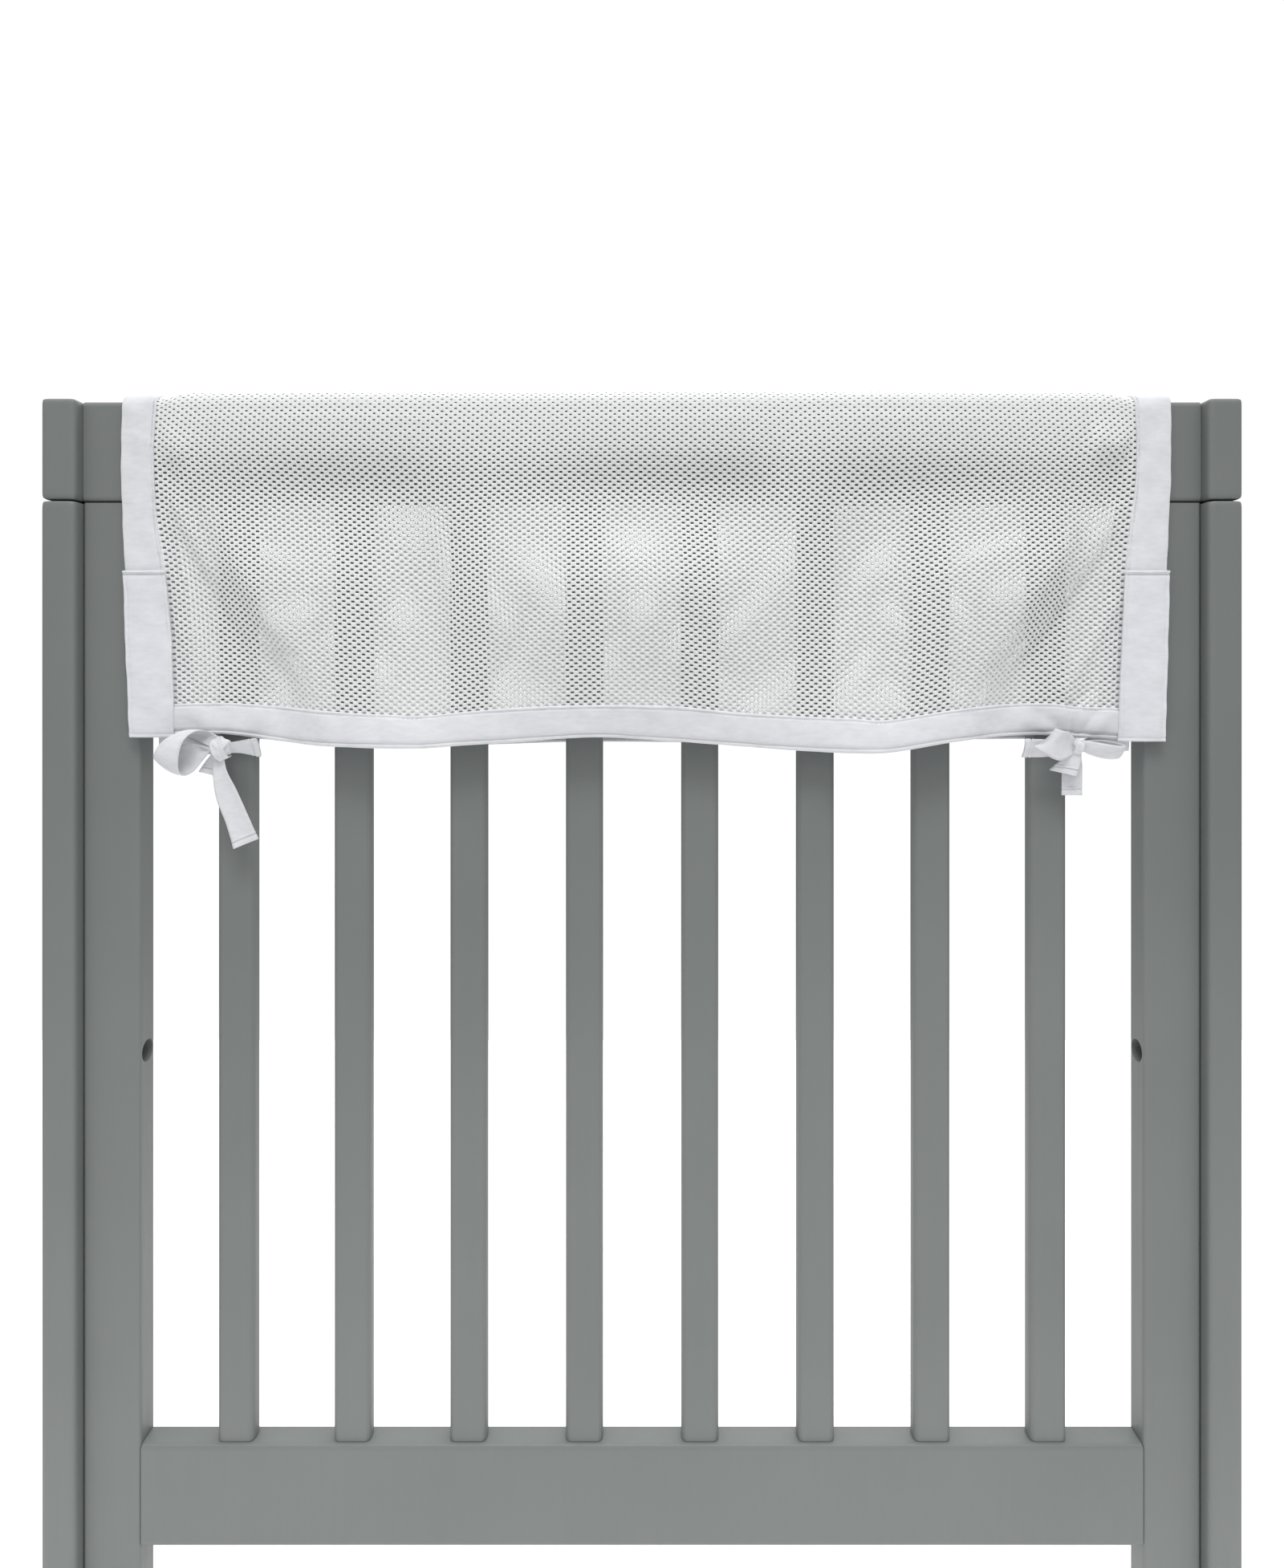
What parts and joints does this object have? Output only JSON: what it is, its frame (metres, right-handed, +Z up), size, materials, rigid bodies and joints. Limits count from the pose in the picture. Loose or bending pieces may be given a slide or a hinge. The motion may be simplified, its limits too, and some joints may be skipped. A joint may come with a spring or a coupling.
{
  "type": "crib rail cover on a crib end panel",
  "caption": "Breathable mesh cover draped over the top rail of a slatted crib end panel, bound in woven cloth and tied with a bow at each lower corner.",
  "frame": {"origin": "middle of the whole object's box in X and Y, on the floor under the feet", "axes": "+Z up, +X to the right of a viewer outside the crib, +Y from that viewer through the panel into the crib"},
  "size_m": [0.746, 0.0876, 0.898],
  "materials": {
    "grey_paint": "wood under a smooth satin mid-grey paint",
    "spacer_mesh": "matt white knitted spacer mesh with small staggered oval holes",
    "woven_binding": "matt white plain-woven cotton tape"
  },
  "bodies": {
    "root": {"top_rail": "grey_paint", "bottom_rail": "grey_paint", "leg_plank_left": "grey_paint", "leg_plank_right": "grey_paint", "corner_post_left": "grey_paint", "corner_post_right": "grey_paint", "cap_block_left": "grey_paint", "cap_block_right": "grey_paint", "slat_1": "grey_paint", "slat_2": "grey_paint", "slat_3": "grey_paint", "slat_4": "grey_paint", "slat_5": "grey_paint", "slat_6": "grey_paint", "slat_7": "grey_paint", "slat_8": "grey_paint", "cover_mesh": "spacer_mesh", "side_binding_left": "woven_binding", "side_binding_right": "woven_binding", "hem_binding_front": "woven_binding", "hem_binding_back": "woven_binding", "corner_patch_left_front": "woven_binding", "corner_patch_left_back": "woven_binding", "corner_patch_right_front": "woven_binding", "corner_patch_right_back": "woven_binding", "bow_left": "woven_binding", "bow_right": "woven_binding"}
  },
  "joints": []
}
